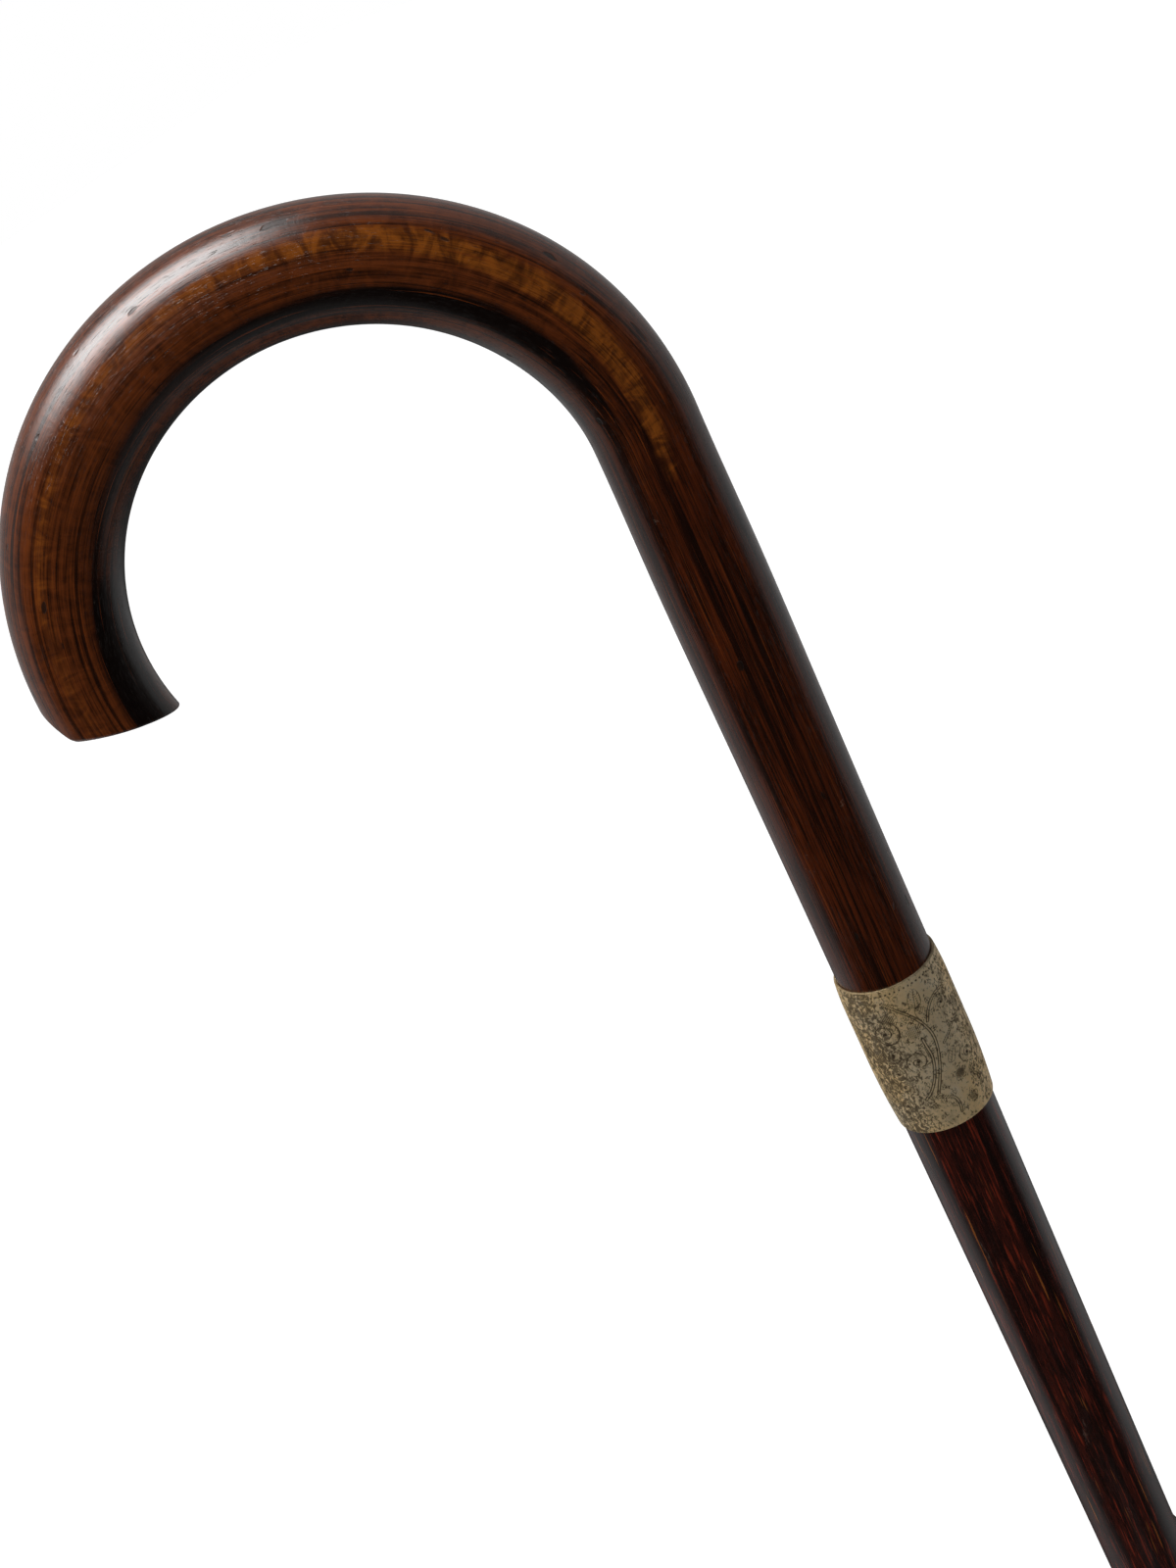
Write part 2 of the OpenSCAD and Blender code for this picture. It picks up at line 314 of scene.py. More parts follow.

# Wood under old varnish: the streaks run along the stick, the flame across it, and scuffs dull it
# The neck's colours are darker than the crook's as painted shade
SHADED_NECK_BROWN = (0.018, 0.0045, 0.0015)
SHADED_NECK_RED = (0.115, 0.0210, 0.0045)
STREAK_BRIGHT = (0.260, 0.0560, 0.0090)
CROOK_DARK = (0.040, 0.0095, 0.0028)
CROOK_BROWN = (0.200, 0.0460, 0.0100)
AMBER_DEEP = (0.095, 0.0250, 0.0050)
AMBER_PALE = (0.360, 0.1000, 0.0120)
# The near-black is the colour of the dark bands, the dark veins and the painted shade
NEAR_BLACK_AND_SHADE = (0.006, 0.0022, 0.0012)
NICK_DARK = (0.010, 0.0050, 0.0030)
SCUFF_PALE = (0.330, 0.2700, 0.2000)
CROOK_GRAIN_DEPTH = 0.06 * MM
crook_varnish, shader, wire = make_material("crook_varnish", IOR=1.5)
straight = wire.add("ShaderNodeAttribute", outlet="Vector", attribute_name="straight")
amber_mask = wire.painted("amber")
shade_and_dark_mask = wire.painted("shade_and_dark_bands")
lit_bend_mask = wire.painted("lit_bend_share")
streak = straight.noise((1.1, 1.1, 0.035), detail=5.0, roughness=0.65)
fibre = straight.noise((4.5, 4.5, 0.09), detail=4.0, roughness=0.6)
flame = straight.noise((0.16, 0.16, 0.33), detail=4.0, roughness=0.6, distortion=1.2)
patchy = straight.noise((0.12, 0.12, 0.03), detail=3.0)
pore = straight.noise((8.0, 8.0, 0.45), detail=2.0)
open_pore = pore.rise(0.62, 0.72)
vein = straight.noise((0.8, 0.8, 0.010), detail=3.0).rise(0.55, 0.63)
bright = straight.noise((3.2, 3.2, 0.028), detail=2.0).rise(0.62, 0.70)
nick = straight.noise((0.42, 0.42, 0.16), detail=1.0).rise(0.735, 0.765)
scuff = straight.noise((0.3, 0.3, 0.5), detail=6.0, roughness=0.75).rise(0.66, 0.74) * pore.rise(0.4, 0.7)
shaded_neck = ((streak + fibre) * 0.5).rise(0.40, 0.62).blend(SHADED_NECK_BROWN, SHADED_NECK_RED)
bend = (0.45 * streak + 0.3 * fibre + 0.25 * flame).rise(0.38, 0.6).blend(CROOK_DARK, CROOK_BROWN)
figure = (0.65 * flame + 0.35 * fibre).rise(0.38, 0.62).blend(AMBER_DEEP, AMBER_PALE)
# Painted shade: the neck's darker colours give way to the crook's
wood = (lit_bend_mask + 0.5 * (patchy - 0.5)).rise(0.1, 0.9).blend(shaded_neck, bend)
wood = (amber_mask + 0.9 * (streak - 0.5) + 0.5 * (flame - 0.5)).rise(0.25, 0.85).blend(wood, figure)
# Near-black where the mask lies: dark bands, and painted shade under the crook and inside the bend
wood = (shade_and_dark_mask + 1.1 * (streak - 0.5) + 0.4 * (fibre - 0.5)).rise(0.3, 0.8).blend(wood, NEAR_BLACK_AND_SHADE)
wood = (0.75 * vein * (1 - 0.5 * amber_mask)).blend(wood, NEAR_BLACK_AND_SHADE)
wood = (0.6 * bright).blend(wood, STREAK_BRIGHT)
wood = (0.55 * open_pore).blend(wood, NICK_DARK)
wood = (0.85 * nick).blend(wood, NICK_DARK)
wood = (0.45 * scuff).blend(wood, SCUFF_PALE)
wood.feed(shader, "Base Color")
(0.13 + 0.1 * patchy.rise(0.45, 0.7) + 0.12 * fibre + 0.4 * scuff + 0.2 * nick).feed(shader, "Roughness")
(0.55 + 0.3 * fibre + 0.5 * flame - 0.35 * open_pore - nick).bump(shader, CROOK_GRAIN_DEPTH)
handle.data.materials.append(crook_varnish)

# The joining dowel is a short rod of bare planed hardwood, glued half into the handle's bore and
# half into the shaft's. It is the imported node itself, and no outside view shows it.
DOWEL_PALE = (0.62, 0.46, 0.28)
DOWEL_DARK = (0.40, 0.26, 0.14)
DOWEL_GRAIN_DEPTH = 0.03 * MM


def dress(node, material):
    """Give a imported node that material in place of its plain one."""
    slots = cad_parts[node].data.materials
    slots.clear()
    slots.append(material)


dowel_wood, shader, wire = make_material("dowel_wood", IOR=1.45)
place = wire.add("ShaderNodeTexCoord", outlet="Object")
grain = place.noise((1500.0, 1500.0, 40.0), detail=4.0, roughness=0.6)
grain.rise(0.4, 0.65).blend(DOWEL_PALE, DOWEL_DARK).feed(shader, "Base Color")
(0.55 + 0.2 * grain).feed(shader, "Roughness")
grain.bump(shader, DOWEL_GRAIN_DEPTH)
dress("joining_dowel", dowel_wood)

# The shaft is a slimmer, darker stick that tapers away from the collar, with the trimmed stub of a
# side branch. It is bored for the dowel at the top and turned down at the foot to fill the ferrule.
SHAFT_TOP_R = 9.75 * MM
SHAFT_FOOT_R = 6.9 * MM
TURNED_FOOT_R = 6.55 * MM
TAPER_POWER = 2.15
KNOT_Z = 543 * MM
KNOT_RISE = 1.6 * MM
KNOT_LENGTH = 14 * MM
KNOT_WIDTH = 11.4 * MM
KNOT_BLEND = 0.35 * MM
KNOT_REACH = 2 * MM
SHOULDER = 0.02 * MM
SHAFT_STEP = 0.7 * MM
SHAFT_SIDES = 96
shaft_low, shaft_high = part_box("shaft")
sleeve_top_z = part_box("ferrule_sleeve")[1].z
collar_bottom_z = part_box("collar")[0].z
skin_length = collar_bottom_z - sleeve_top_z


def shaft_r(z):
    """Radius at height z: the foot's, and above it the share of the height raised to the taper's power."""
    h = np.clip((z - sleeve_top_z) / skin_length, 0, 1)
    return SHAFT_FOOT_R + (SHAFT_TOP_R - SHAFT_FOOT_R) * h**TAPER_POWER


def knot_r(z, a):
    """Radius out to the knot at height z and angle a, or 0 where there is none.

    The knot is a spindle whose side is an arc. A ray from the shaft's middle meets its round section at
    the section's middle times the cosine, plus the root of its radius squared less the distance squared.
    """
    belly = KNOT_WIDTH / 2
    arc_r = ((KNOT_LENGTH / 2) ** 2 + KNOT_RISE**2) / (2 * KNOT_RISE)
    middle = shaft_r(KNOT_Z) + KNOT_RISE - belly
    section = np.sqrt(np.maximum(arc_r**2 - (z - KNOT_Z) ** 2, 0)) + belly - arc_r
    inside = np.maximum(section, 0) ** 2 - (middle * np.sin(a)) ** 2
    met = (inside > 0) & (np.cos(a) > 0)
    return np.where(met, middle * np.cos(a) + np.sqrt(np.maximum(inside, 0)), 0)


# Where the stub meets the stick, the greater of their radii is taken with a hollow that rounds the corner
a = np.linspace(-np.pi, np.pi, SHAFT_SIDES, endpoint=False)[None, :]
skin_z = np.linspace(sleeve_top_z, collar_bottom_z, int(skin_length / SHAFT_STEP))[:, None]
plain_r = shaft_r(skin_z) + 0 * a
stub_r = knot_r(skin_z, a)
knot_skin_r = (plain_r + stub_r + np.sqrt((plain_r - stub_r) ** 2 + KNOT_BLEND**2)) / 2
knot_skin_r = np.minimum(knot_skin_r, np.maximum(plain_r, stub_r) + KNOT_BLEND / 4)
skin_r = np.where(stub_r > plain_r - KNOT_REACH, knot_skin_r, plain_r)

# Rows of the shaft: the turned-down foot, the skin, the sawn end, then the bore down to its blind end
hole_z = shaft_high.z - DOWEL_HOLE_DEPTH
foot_z = np.array([shaft_low.z, shaft_low.z, sleeve_top_z - SHOULDER])[:, None]
foot_r = np.array([TURNED_FOOT_R / 2, TURNED_FOOT_R, TURNED_FOOT_R])[:, None]
bore_z = np.array([shaft_high.z, shaft_high.z, hole_z, hole_z])[:, None]
bore_r = np.array([SHAFT_TOP_R, DOWEL_HOLE_R, DOWEL_HOLE_R, DOWEL_HOLE_R / 2])[:, None]
row_z = np.concatenate([foot_z, skin_z, bore_z]) + 0 * a
row_r = np.concatenate([foot_r + 0 * a, skin_r, bore_r + 0 * a])
rings = round_points(row_r, a, row_z)
poles = round_points(zero, zero, np.array([shaft_low.z, hole_z]))
shaft = make_skin("shaft_wood", rings, poles, np.concatenate([rings.reshape(-1, 3), poles]) / MM)
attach(shaft, "root")
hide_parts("shaft")

# The shaft's wood is stained nearly black under the varnish, and short red flecks show through
SHAFT_BLACK = (0.012, 0.0045, 0.0035)
SHAFT_RED = (0.055, 0.0100, 0.0060)
FLECK_RED = (0.200, 0.0260, 0.0110)
FLECK_ORANGE = (0.300, 0.0900, 0.0180)
SHAFT_GRAIN_DEPTH = 0.05 * MM
shaft_varnish, shader, wire = make_material("shaft_varnish", IOR=1.5)
straight = wire.add("ShaderNodeAttribute", outlet="Vector", attribute_name="straight")
streak = straight.noise((0.7, 0.7, 0.02), detail=4.0, roughness=0.6)
fleck = straight.noise((2.6, 2.6, 0.10), detail=2.0, roughness=0.5)
glint = straight.noise((1.6, 1.6, 0.05), detail=1.0)
pore = straight.noise((7.0, 7.0, 0.4), detail=2.0)
worn = straight.noise((0.25, 0.25, 0.06), detail=6.0, roughness=0.75)
scuff = worn.rise(0.62, 0.72) * pore.rise(0.4, 0.65)
wood = (0.6 * streak + 0.4 * pore).rise(0.42, 0.62).blend(SHAFT_BLACK, SHAFT_RED)
wood = (fleck.rise(0.56, 0.66) * streak.rise(0.36, 0.56)).blend(wood, FLECK_RED)
wood = glint.rise(0.68, 0.76).blend(wood, FLECK_ORANGE)
wood = (0.22 * scuff).blend(wood, SCUFF_PALE)
wood.feed(shader, "Base Color")
(0.10 + 0.12 * worn.rise(0.45, 0.7) + 0.08 * pore + 0.35 * scuff).feed(shader, "Roughness")
(0.5 + 0.3 * pore + 0.3 * fleck - 0.2 * scuff).bump(shader, SHAFT_GRAIN_DEPTH)
shaft.data.materials.append(shaft_varnish)

# The collar is thin sheet metal, drawn to a slight barrel that covers and grips the joint. A floral
# scroll is engraved in it by hand, over the front half and again over the back, and has tarnished.
COLLAR_LENGTH_MM = 36.0
COLLAR_WALL_MM = 0.5
BELLY_R_MM = 11.1
BOTTOM_R_MM = 10.3
TOP_DRAW_MM = 0.4
BOTTOM_DRAW = 0.45
TOP_DRAW_FROM = 0.8
RIM_R_MM = 0.18
CUT_DEPTH_MM = 0.12
RIM_PLAIN_MM = 0.3
MIDDLE_R_MM = 10.9
COLLAR_SIDES = 540
COLLAR_ROWS = 140
INNER_ROWS = 24
RIM_ROWS = 4


def collar_r(t):
    """Outer radius at share t of its length from the bottom: the belly less a square draw-in at each end."""
    bottom = (BELLY_R_MM - BOTTOM_R_MM) * np.maximum(0, 1 - t / BOTTOM_DRAW) ** 2
    return BELLY_R_MM - bottom - TOP_DRAW_MM * np.maximum(0, (t - TOP_DRAW_FROM) / (1 - TOP_DRAW_FROM)) ** 2


# Places on the collar are millimetres up from its bottom edge and round it from the inner side
half_round = math.pi * MIDDLE_R_MM
a = np.linspace(-np.pi, np.pi, COLLAR_SIDES, endpoint=False)[None, :]
t = np.linspace(0, 1, COLLAR_ROWS)[:, None]
up = COLLAR_LENGTH_MM * t + 0 * a
across = ((a + np.pi) / np.pi * half_round + 0 * t) % half_round


def stroke_gap(points):
    """Distance to a broken line: at each piece, the place is dropped on it and held between its ends."""
    gap = np.full(up.shape, 99.0)
    for start, end in zip(points[:-1], points[1:]):
        step = end - start
        share = np.clip(((up - start[0]) * step[0] + (across - start[1]) * step[1]) / (step @ step), 0, 1)
        gap = np.minimum(gap, np.hypot(up - start[0] - share * step[0], across - start[1] - share * step[1]))
    return gap


def soften(points):
    """A broken line with its corners cut three times, at a quarter and three quarters of each side."""
    line = np.array(points, dtype=float)
    for _ in range(3):
        near, far = line[:-1], line[1:]
        cut_line = np.stack([0.75 * near + 0.25 * far, 0.25 * near + 0.75 * far], 1).reshape(-1, 2)
        line = np.concatenate([line[:1], cut_line, line[-1:]])
    return line


def polar(middle_up, middle_across):
    """Distance and bearing of each place from a middle."""
    reach = np.hypot(up - middle_up, across - middle_across)
    return reach, np.arctan2(across - middle_across, up - middle_up)


def ridge(gap, width):
    """A bell that is 1 where the gap is 0 and falls away over the width."""
    return np.exp(-((gap / width) ** 2))


# Each stem is a broken line of places, up and round, whose corners are softened
STEMS = [
    [
        (33, 12.6), (31.2, 14.5), (28, 17.5), (24.8, 19.1), (22.2, 19.8),
        (19.2, 19.6), (16, 18.8), (12.5, 17.5), (9.2, 16),
    ],
    [(22.5, 17.4), (20.2, 17.6), (18, 17.9), (15.8, 17.5), (13.5, 16.8), (10.5, 15.2), (8.6, 13.2)],
    [(25.5, 19.8), (28, 21), (29.4, 22.6), (30, 24.5), (29.4, 26.6)],
    [(19.2, 21.2), (20.5, 23.2), (21.8, 25), (22.2, 27.4)],
    [(8.5, 15.5), (7.6, 17.4), (6.8, 18.8), (4.8, 19.3), (2.8, 19)],
    [(5, 25.8), (5.9, 26.4), (6.8, 26.2), (7.8, 25.7), (8.5, 25)],
    [(12, 29), (15.5, 30.2), (19, 29.6), (22.5, 30.6), (26, 29.8), (29.5, 30.8)],
    [(28.5, 2.2), (24, 3.4), (19, 2.6), (14, 4.4), (9, 3.4), (5.4, 4.6)],
]
STEM_HALF = 0.24
STEM_CUT = 0.13
STEM_TARNISH = 0.15

# Each frond: its middle, its size, which way it turns and where its turn starts
FRONDS = [
    (25.8, 10.8, 2.6, 1, 0.0), (20.5, 10.5, 2.1, -1, 1.0), (15.8, 9.8, 1.9, 1, 2.0),
    (12.2, 10, 1.5, -1, 3.0), (27.2, 24.2, 1.5, 1, 1.5), (17.8, 14.9, 2.1, 1, 3.3),
    (7.4, 8.6, 1.7, 1, 0.5), (13.6, 25.4, 1.9, -1, 0.3), (31.6, 6.2, 1.8, 1, 2.4),
    (23.6, 32.2, 1.5, 1, 1.0), (16.0, 33.0, 1.3, -1, 0.0), (8.0, 30.8, 1.6, 1, 2.0),
    (31.8, 30.2, 1.5, -1, 2.0), (3.4, 10.8, 1.3, 1, 0.0), (24.6, 6.4, 1.4, -1, 1.0),
    (17.2, 6.0, 1.3, 1, 2.0),
]
FROND_WINDING = 9.5
FAN_STROKES = 13
FAN_WINDING = 9
FROND_DEPTH = 0.9
HEART_SIZE = 0.28

# Each blossom: its middle, its size and its lobes
BLOOMS = [
    (24.6, 16.4, 2.1, 5), (29.2, 12.6, 1.7, 5), (11.0, 21.8, 1.5, 5),
    (24.4, 28.0, 1.6, 5), (20.6, 7.2, 1.5, 4), (4.6, 22.6, 1.3, 4),
]
BLOOM_GROWTH = 1.15
BLOOM_EDGE = 0.11
HATCH_PER_MM = 12

# Each leaf: its root, its tip and its width. The stems' own leaflets are added to them.
LEAVES = [
    ((26.2, 20.2), (29.5, 18.6), 1.0), ((29.5, 18.6), (33.6, 19.6), 1.1), ((27.0, 17.4), (28.8, 15.2), 0.7),
    ((14.2, 20.8), (17.4, 22.8), 0.7), ((9.6, 24.4), (11.4, 26.2), 0.6), ((31.4, 9.4), (33.4, 11.0), 0.7),
    ((9.4, 12.4), (6.0, 14.6), 0.8), ((19.4, 25.8), (17.2, 28.2), 0.7), ((3.0, 4.4), (5.2, 6.8), 0.7),
    ((27.4, 31.8), (30.6, 33.0), 0.7), ((11.6, 6.4), (14.0, 7.8), 0.7), ((21.4, 4.6), (23.0, 2.0), 0.6),
]
LEAFLET_LENGTH = 1.9
LEAFLET_WIDTH = 0.42
VEINS_PER_MM = 11
VEIN_SLANT = 7
LEAF_EDGE = 0.1
MIDRIB = 0.09
for points in STEMS:
    middles = (np.array(points[:-1]) + np.array(points[1:])) / 2
    runs = np.array(points[1:]) - np.array(points[:-1])
    for side, middle, run in zip([1, -1] * len(runs), middles, runs):
        out = (0.35 * run + side * 0.75 * np.array([-run[1], run[0]])) * LEAFLET_LENGTH / np.hypot(*run)
        LEAVES.append((tuple(middle + 0.15 * out), tuple(middle + 1.15 * out), LEAFLET_WIDTH))

# Cut is how deep the graver went, tarnish_and_shadow how dark the place is, both from 0 to 1: tarnish in the
# cuts, and a painted shadow along the top edge
cut = np.zeros_like(up)
tarnish_and_shadow = np.zeros_like(up)
for points in STEMS:
    gap = np.abs(stroke_gap(soften(points)) - STEM_HALF)
    cut = np.maximum(cut, 1 - (gap / STEM_CUT) ** 2)
    tarnish_and_shadow = np.maximum(tarnish_and_shadow, ridge(gap, STEM_TARNISH))
for middle_up, middle_across, size, way, start in FRONDS:
    reach, bearing = polar(middle_up, middle_across)
    frond = np.cos(way * bearing + FROND_WINDING * reach / size + start)
    fan = np.cos(way * FAN_STROKES * bearing + FAN_WINDING * reach / size)
    fan_lines = smooth(fan * smooth((reach / size - 0.55) * 3) * 2 - 0.9)
    inside = smooth((1.5 * size - reach) / (0.35 * size))
    lines = FROND_DEPTH * inside * np.maximum(smooth(frond * 4 - 2.8), 0.75 * fan_lines)
    lines = np.maximum(lines, ridge(reach, HEART_SIZE * size))
    cut = np.maximum(cut, lines)
    tarnish_and_shadow = np.maximum(tarnish_and_shadow, lines)
for middle_up, middle_across, size, lobes in BLOOMS:
    reach, bearing = polar(middle_up, middle_across)
    inside = BLOOM_GROWTH * size * (0.55 + 0.45 * np.abs(np.cos(lobes * bearing / 2))) - reach
    hatch = np.maximum(np.cos((up + across) * HATCH_PER_MM), np.cos((up - across) * HATCH_PER_MM))
    shading = smooth(inside / 0.2) * smooth(1.6 - 1.2 * reach / size) * (0.35 + 0.6 * np.maximum(hatch, 0))
    lines = np.maximum(shading, ridge(inside, BLOOM_EDGE))
    cut = np.maximum(cut, lines)
    tarnish_and_shadow = np.maximum(tarnish_and_shadow, lines)
for root, tip, width in LEAVES:
    root, tip = np.array(root), np.array(tip)
    along = tip - root
    length = np.hypot(*along)
    share = ((up - root[0]) * along[0] + (across - root[1]) * along[1]) / (along @ along)
    side = np.abs((up - root[0]) * along[1] - (across - root[1]) * along[0]) / length
    inside = 1.3 * width * np.sqrt(np.clip(share * (1 - share), 0, 1)) * 2 * (1.2 - 0.5 * share) - side
    veins = np.maximum(np.cos(share * length * VEINS_PER_MM - side * VEIN_SLANT), 0) ** 2
    leaf = np.maximum(smooth(inside / 0.15) * (0.15 + 0.75 * veins), ridge(inside, LEAF_EDGE))
    leaf = np.maximum(leaf, ridge(side, MIDRIB)) * ((share > 0) & (share < 1))
    cut = np.maximum(cut, 0.9 * leaf)
    tarnish_and_shadow = np.maximum(tarnish_and_shadow, 0.95 * leaf)

# A row of short strokes runs below the top edge, and the top edge itself is dark with a painted shadow of
# the gap where the collar meets the wood
BORDER_UP = 34.7
BORDER_HALF = 0.28
BORDER_STROKES = 34
TOP_SHADOW_MM = 0.35
strokes = np.cos(across * 2 * math.pi * BORDER_STROKES / half_round) > 0.1
border = ridge(up - BORDER_UP, BORDER_HALF) * strokes
cut = np.clip(np.maximum(cut, border), 0, 1)
tarnish_and_shadow = np.maximum(tarnish_and_shadow, border)
tarnish_and_shadow = np.maximum(tarnish_and_shadow, 0.8 * np.exp(-((COLLAR_LENGTH_MM - up) / TOP_SHADOW_MM)))

# Dense is how closely the ground between the cuts is pitted: most where the front turns inwards
bearing = np.degrees(a) + 0 * t
dense = 0.22 + 0.75 * band(bearing, -140, 34) + 0.35 * band(bearing, -38, 18) + 0.6 * band(bearing, 60, 60)

# Rows of the collar: the rounded bottom rim, the engraved outside, the top rim, then down the inside
rim = np.radians(np.linspace(90, 0, RIM_ROWS, endpoint=False))[:, None]
rim_in = -RIM_R_MM * (1 - np.cos(rim))
bottom_r = collar_r(0.0) + rim_in + 0 * a
bottom_z = RIM_R_MM * (1 - np.sin(rim)) + 0 * a
top_r = collar_r(1.0) + rim_in[::-1] + 0 * a
top_z = COLLAR_LENGTH_MM - RIM_R_MM * (1 - np.sin(rim[::-1])) + 0 * a
from_edge = np.minimum(up, COLLAR_LENGTH_MM - up)
outer_r = collar_r(t) - CUT_DEPTH_MM * cut * smooth(from_edge / RIM_PLAIN_MM)
body = from_edge[:, 0] > RIM_R_MM
inner_t = np.linspace(1, 0, INNER_ROWS)[:, None]
inner_r = collar_r(inner_t) - COLLAR_WALL_MM + 0 * a
row_r = np.concatenate([bottom_r, outer_r[body], top_r, inner_r]) * MM
row_z = np.concatenate([bottom_z, up[body], top_z, COLLAR_LENGTH_MM * inner_t + 0 * a]) * MM
collar = make_skin("collar_engraved", round_points(row_r, a, row_z + collar_bottom_z))
edges = np.ones_like(bottom_r)
inner = np.ones_like(inner_r)
# The top rim takes the painted shadow too
paint(collar, "tarnish_and_shadow", np.concatenate([0.35 * edges, tarnish_and_shadow[body], 0.7 * edges, 0.8 * inner]))
paint(collar, "dense", np.concatenate([0.2 * edges, dense[body], 0.5 * edges, 0.8 * inner]))
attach(collar, "root")
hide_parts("collar")

# Gilt pale metal, rubbed in places and pitted, with brown tarnish in the cuts and a painted shadow along the
# top edge
GILT = (1.00, 0.72, 0.36)
GREY_METAL = (0.88, 0.70, 0.44)
TARNISH_AND_SHADOW_BROWN = (0.060, 0.038, 0.018)
RUBBED = (0.95, 0.82, 0.60)
COLLAR_PIT_DEPTH = 0.05 * MM
collar_metal, shader, wire = make_material("collar_metal", Metallic=0.5)
place = wire.add("ShaderNodeTexCoord", outlet="Object")
mottle = place.noise((260.0, 260.0, 200.0), detail=6.0, roughness=0.7)
broad = place.noise((70.0, 70.0, 60.0), detail=3.0)
stipple = place.noise((2600.0, 2600.0, 2600.0), detail=1.0)
scratches = place.noise((900.0, 900.0, 9000.0), detail=2.0)
pitting = place.noise((1500.0, 1500.0, 1100.0), detail=3.0, roughness=0.6, distortion=0.6)
pits = (pitting + 0.22 * wire.painted("dense")).rise(0.60, 0.74)
dark = (wire.painted("tarnish_and_shadow") * (0.75 + 0.5 * mottle)).rise(0.25, 0.95).math("MAXIMUM", 0.8 * pits)
metal = broad.rise(0.38, 0.6).blend(GREY_METAL, GILT)
metal = (0.6 * mottle.rise(0.5, 0.72)).blend(metal, TARNISH_AND_SHADOW_BROWN)
metal = (0.5 * mottle.rise(0.5, 0.3)).blend(metal, RUBBED)
# Brown in the cuts and pits, and in the painted shadow at the top edge
metal = dark.blend(metal, TARNISH_AND_SHADOW_BROWN)
metal.feed(shader, "Base Color")
(0.32 + 0.22 * mottle + 0.2 * dark + 0.06 * scratches).feed(shader, "Roughness")
(0.5 * stipple + 0.3 * scratches + 0.5 * mottle - pits).bump(shader, COLLAR_PIT_DEPTH)
collar.data.materials.append(collar_metal)

# The ferrule's sleeve is a turned brass tube with a stiffening band, pushed over the shaft's foot and
# nailed through the band with two small domed brass nails. All three are dull from handling.
BRASS = (0.50, 0.35, 0.13)
BRASS_BROWN = (0.13, 0.075, 0.03)
BRASS_MARK_DEPTH = 0.02 * MM
for node in ("ferrule_sleeve", "ferrule_nails"):
    brass, shader, wire = make_material(node + "_brass", Metallic=1.0)
    place = wire.add("ShaderNodeTexCoord", outlet="Object")
    cloud = place.noise((180.0, 180.0, 140.0), detail=6.0, roughness=0.7)
    rubbed = place.noise((500.0, 500.0, 60.0), detail=4.0, roughness=0.6)
    turned = place.noise((60.0, 60.0, 6000.0), detail=2.0)
    tone = cloud.rise(0.36, 0.66).blend(BRASS, BRASS_BROWN)
    tone = (0.5 * rubbed.rise(0.6, 0.8)).blend(tone, RUBBED)
    tone.feed(shader, "Base Color")
    (0.26 + 0.3 * cloud + 0.1 * turned).feed(shader, "Roughness")
    (0.6 * rubbed + 0.4 * turned).bump(shader, BRASS_MARK_DEPTH)
    dress(node, brass)

# The ferrule's tip is an iron disc with a spigot, brazed into the sleeve's end. Walking has worn it
# bright and pitted, and rust clouds the rest.
IRON = (0.13, 0.12, 0.11)
IRON_WORN = (0.36, 0.35, 0.34)
RUST = (0.12, 0.045, 0.018)
IRON_PIT_DEPTH = 0.08 * MM
iron, shader, wire = make_material("tip_iron", Metallic=1.0)
place = wire.add("ShaderNodeTexCoord", outlet="Object")
pitted = place.noise((900.0, 900.0, 900.0), detail=5.0, roughness=0.7)
cloud = place.noise((220.0, 220.0, 220.0), detail=5.0, roughness=0.7)
tone = cloud.rise(0.42, 0.62).blend(IRON, RUST)
tone = pitted.rise(0.58, 0.75).blend(tone, IRON_WORN)
tone.feed(shader, "Base Color")
(0.4 + 0.4 * cloud).feed(shader, "Roughness")
pitted.bump(shader, IRON_PIT_DEPTH)
dress("ferrule_tip", iron)

# The floor is a pale diamond, rounded at its near and far corners, and the cane's foot stands near the
# near one. The camera sees it white with the cane's shadow. Glossy rays see a painted glow instead, dim,
# darker towards the front as painted falloff and dimmer still in a strip straight behind the cane.
FLOOR_TIP_Y = -0.75
FLOOR_SLOPE = 0.85
FLOOR_ROUND = 0.1
FLOOR_HALF_WIDTH = 3.4
FLOOR_POINTS = 201
FLOOR_GREY = (0.8, 0.8, 0.8, 1)
FLOOR_GLOW = 1.6
FLOOR_DIM = 0.15
FLOOR_FAR = 0.38
x = np.linspace(-FLOOR_HALF_WIDTH, FLOOR_HALF_WIDTH, FLOOR_POINTS)
front = FLOOR_TIP_Y + np.sqrt(FLOOR_ROUND**2 + (FLOOR_SLOPE * x) ** 2)
back = 2 * front.max() - front
front_edge = np.stack([x, front, 0 * x], -1)
back_edge = np.stack([x, back, 0 * x], -1)[-2:0:-1]
outline = np.concatenate([front_edge, back_edge])
floor_mesh = bpy.data.meshes.new("floor")
floor_mesh.from_pydata(outline.tolist(), [], [list(range(len(outline)))])
floor = bpy.data.objects.new("floor", floor_mesh)
bpy.context.scene.collection.objects.link(floor)
floor_paint, shader, wire = make_material("floor_paint")
floor_paint.node_tree.nodes.remove(shader)
place = wire.add("ShaderNodeTexCoord", outlet="Object")
floor_x = wire.add("ShaderNodeSeparateXYZ", {0: place}, outlet="X").math("ABSOLUTE")
floor_y = wire.add("ShaderNodeSeparateXYZ", {0: place}, outlet="Y")
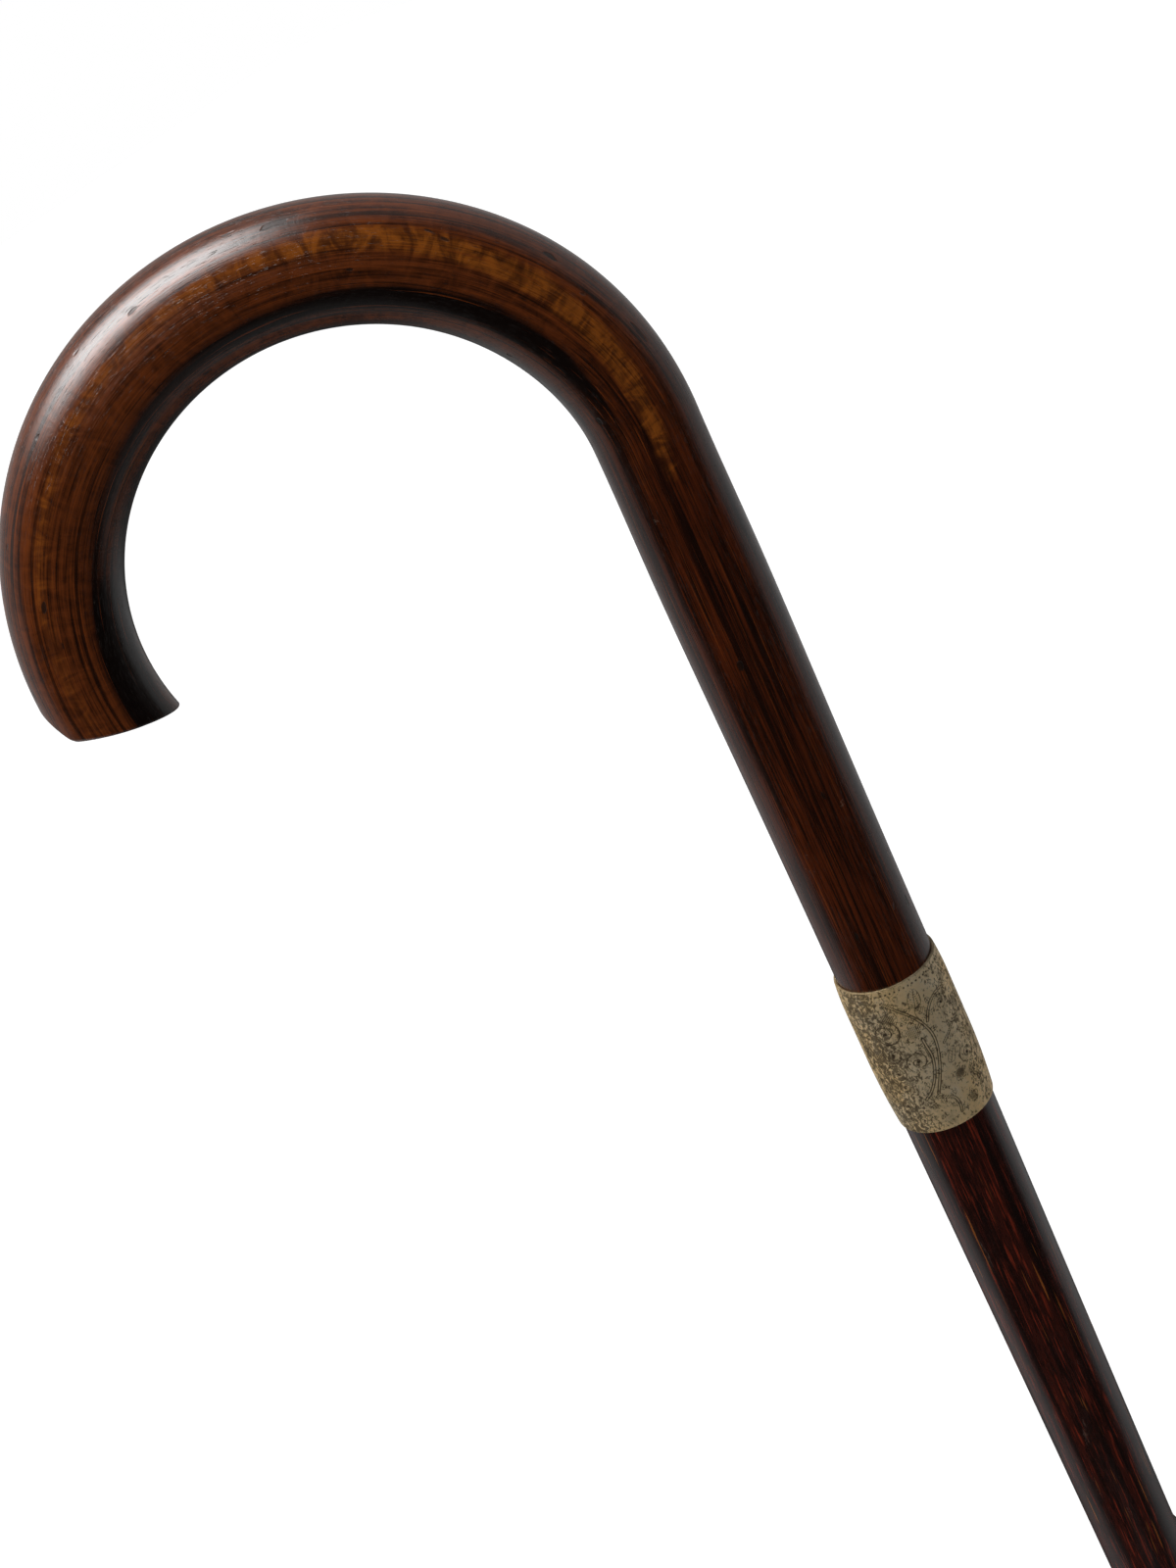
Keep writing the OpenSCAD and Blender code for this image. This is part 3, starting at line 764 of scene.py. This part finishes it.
# Painted glow for glossy rays: darker towards the front as painted falloff, and in a strip straight behind
# the cane
behind = floor_y.rise(-0.05, 0.15) * (1 - floor_x.rise(0.25, 0.75))
dim = (FLOOR_DIM + (FLOOR_FAR - FLOOR_DIM) * floor_y.rise(-0.4, 0.15)) * (1 - 0.85 * behind)
pale = wire.add("ShaderNodeBsdfDiffuse", {"Color": FLOOR_GREY})
white = wire.add("ShaderNodeEmission", {"Strength": FLOOR_GLOW})
dull = wire.add("ShaderNodeEmission", {"Strength": dim})
camera_ray = wire.add("ShaderNodeLightPath", outlet="Is Camera Ray")
glossy_ray = wire.add("ShaderNodeLightPath", outlet="Is Glossy Ray")
seen = wire.add("ShaderNodeMixShader", {0: 0.5, 1: pale, 2: white})
seen = wire.add("ShaderNodeMixShader", {0: camera_ray, 1: pale, 2: seen})
seen = wire.add("ShaderNodeMixShader", {0: glossy_ray, 1: seen, 2: dull})
seen.feed(floor_paint.node_tree.nodes["Material Output"], "Surface")
floor_mesh.materials.append(floor_paint)

# The room has a window high on the left and is dim elsewhere, dimmest in front. Glossy rays see the
# window brighter, as the varnish shows it, and the camera sees white behind the cane.
WINDOW = Vector((-0.38, 0.05, 0.92)).normalized()
ROOM_DIM = 0.02
ROOM_BACK = 0.36
WINDOW_LIGHT = 3.0
WINDOW_SHINE = 13.0
WHITE = (1, 1, 1, 1)
world = bpy.data.worlds.new("studio")
bpy.context.scene.world = world
world.use_nodes = True
background = world.node_tree.nodes["Background"]
wire = Wire(world.node_tree)
direction = wire.add("ShaderNodeTexCoord", outlet="Generated")


def lies_along(axis):
    """How far the direction goes along an axis: their scalar product."""
    inlets = {0: direction, 1: tuple(axis)}
    return wire.add("ShaderNodeVectorMath", inlets, outlet="Value", operation="DOT_PRODUCT")


window_right = Vector((0, 1, 0)).cross(WINDOW).normalized()
window_up = WINDOW.cross(window_right).normalized()
pane_right = lies_along(window_right).math("ABSOLUTE").rise(0.65, 0.2)
pane_up = lies_along(window_up).math("ABSOLUTE").rise(0.55, 0.1)
window = pane_right * pane_up * lies_along(WINDOW).rise(0.0, 0.2)
room = ROOM_BACK * wire.add("ShaderNodeSeparateXYZ", {0: direction}, outlet="Y").rise(-0.25, 0.2) + ROOM_DIM
camera_ray = wire.add("ShaderNodeLightPath", outlet="Is Camera Ray")
glossy_ray = wire.add("ShaderNodeLightPath", outlet="Is Glossy Ray")
background.inputs["Color"].default_value = WHITE
(window * (WINDOW_SHINE * glossy_ray + WINDOW_LIGHT) + room).feed(background, "Strength")
light = Wire(world.node_tree, background.outputs[0])
white = wire.add("ShaderNodeBackground", {"Color": WHITE})
seen = wire.add("ShaderNodeMixShader", {0: camera_ray, 1: light, 2: white})
seen.feed(world.node_tree.nodes["World Output"], "Surface")

# A large soft lamp on the camera's side fills the shadows and shows in no reflection
FILL_WIDTH = 2.0
FILL_WATTS = 28
FILL_PLACE = Vector((-0.8, -2.6, 1.9))
FILL_AIM = Vector((-0.04, 0, 0.72))
fill_data = bpy.data.lights.new("fill", "AREA")
fill_data.shape = "DISK"
fill_data.size = FILL_WIDTH
fill_data.energy = FILL_WATTS
fill = bpy.data.objects.new("fill", fill_data)
bpy.context.scene.collection.objects.link(fill)
fill.location = FILL_PLACE
fill.rotation_euler = (FILL_AIM - FILL_PLACE).to_track_quat("-Z", "Y").to_euler()
fill.visible_glossy = False

# The camera is fitted to the cane's outline in the photograph, which is 1600 pixels high
CAMERA_PLACE = Vector((-25.13, -546.65, 1023.62)) * MM
IMAGE_RIGHT = Vector((0.9051, -0.1602, -0.3938))
IMAGE_DOWN = Vector((-0.4246, -0.3868, -0.8186))
FOCAL_PIXELS = 3200
IMAGE_HEIGHT = 1600
FILM_SIDE_MM = 36
NEAREST = 10 * MM
camera_data = bpy.data.cameras.new("camera")
camera_data.sensor_width = FILM_SIDE_MM
camera_data.lens = FILM_SIDE_MM * FOCAL_PIXELS / IMAGE_HEIGHT
camera_data.clip_start = NEAREST
camera = bpy.data.objects.new("camera", camera_data)
bpy.context.scene.collection.objects.link(camera)
image_right = IMAGE_RIGHT.normalized()
image_up = -(IMAGE_DOWN - IMAGE_DOWN.dot(image_right) * image_right).normalized()
axes = Matrix((image_right, image_up, image_right.cross(image_up))).transposed()
camera.matrix_world = Matrix.Translation(CAMERA_PLACE) @ axes.to_4x4()
bpy.context.scene.camera = camera
bpy.context.scene.view_settings.view_transform = "Standard"
